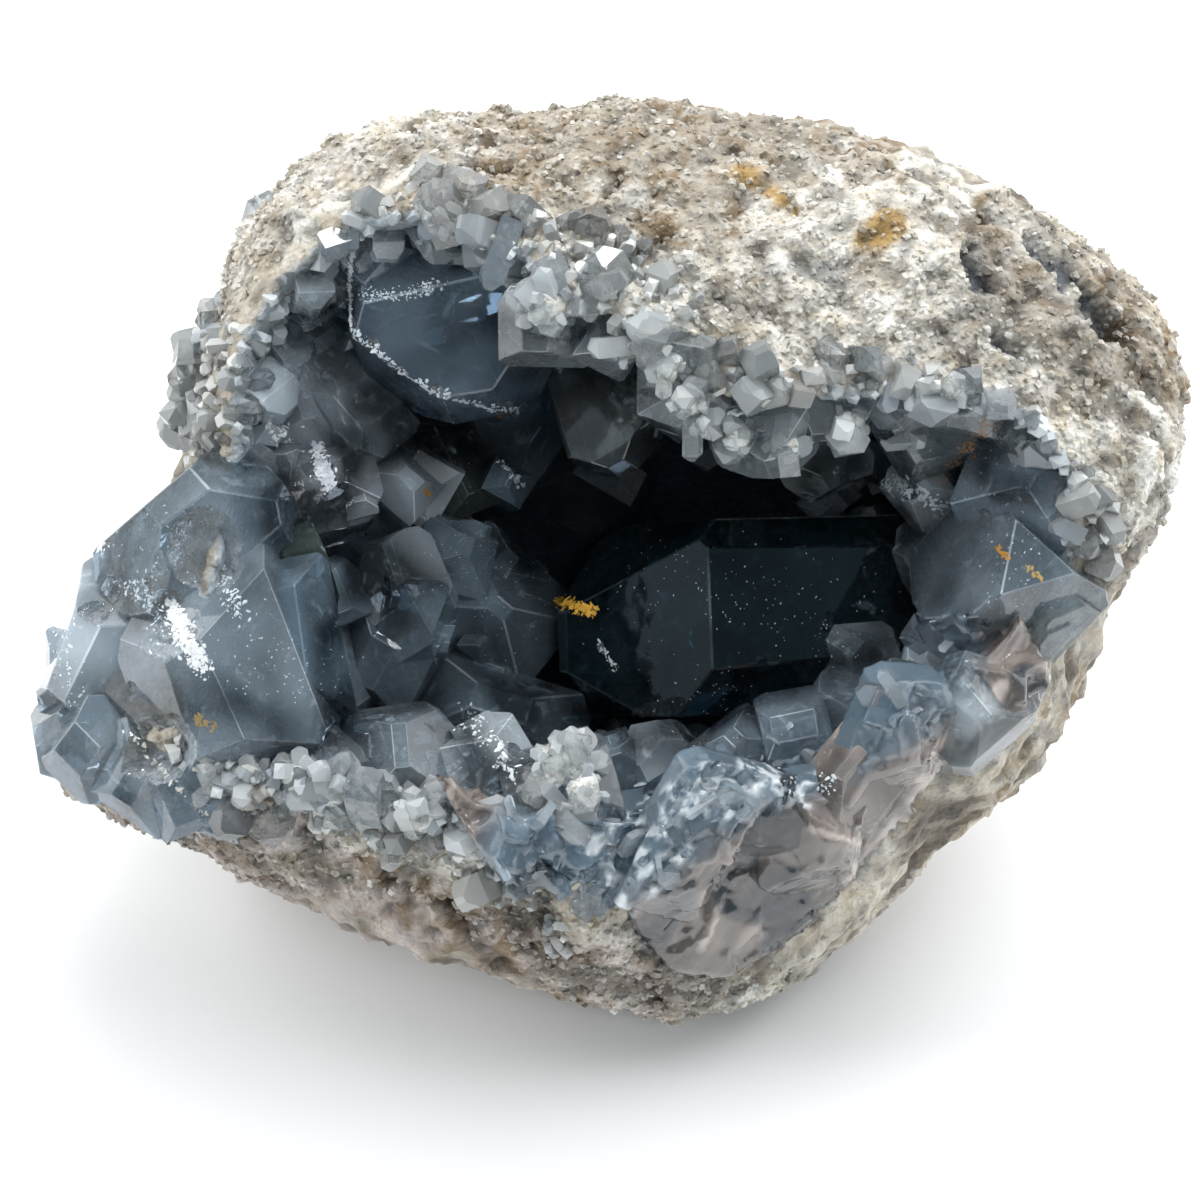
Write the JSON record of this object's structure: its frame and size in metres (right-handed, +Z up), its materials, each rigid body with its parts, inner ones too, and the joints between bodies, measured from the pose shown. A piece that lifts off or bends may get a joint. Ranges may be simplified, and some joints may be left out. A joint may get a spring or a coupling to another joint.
{
  "type": "celestite geode",
  "caption": "Half of a broken geode: a thick rounded rind of pale rock, open to one side, its hollow lined with blocky blue-grey celestite crystals.",
  "frame": {"origin": "on the ground, under the middle of the stone's bounding box", "axes": "+X to the right across the hollow's mouth, which is the stone's longest way; +Y to the back; +Z up. The mouth looks to -Y and 45 degrees up"},
  "size_m": [0.1474, 0.1136, 0.1069],
  "materials": {
    "matrix_rock": "rough, sugary and pitted, cream-white to tan with brown and ochre patches",
    "celestite": "vitreous, see-through to milky blue-grey, darker in the big crystals, white where bruised"
  },
  "bodies": {
    "root": {"rock_rind": "matrix_rock", "crystal_lining": "celestite"}
  },
  "joints": []
}
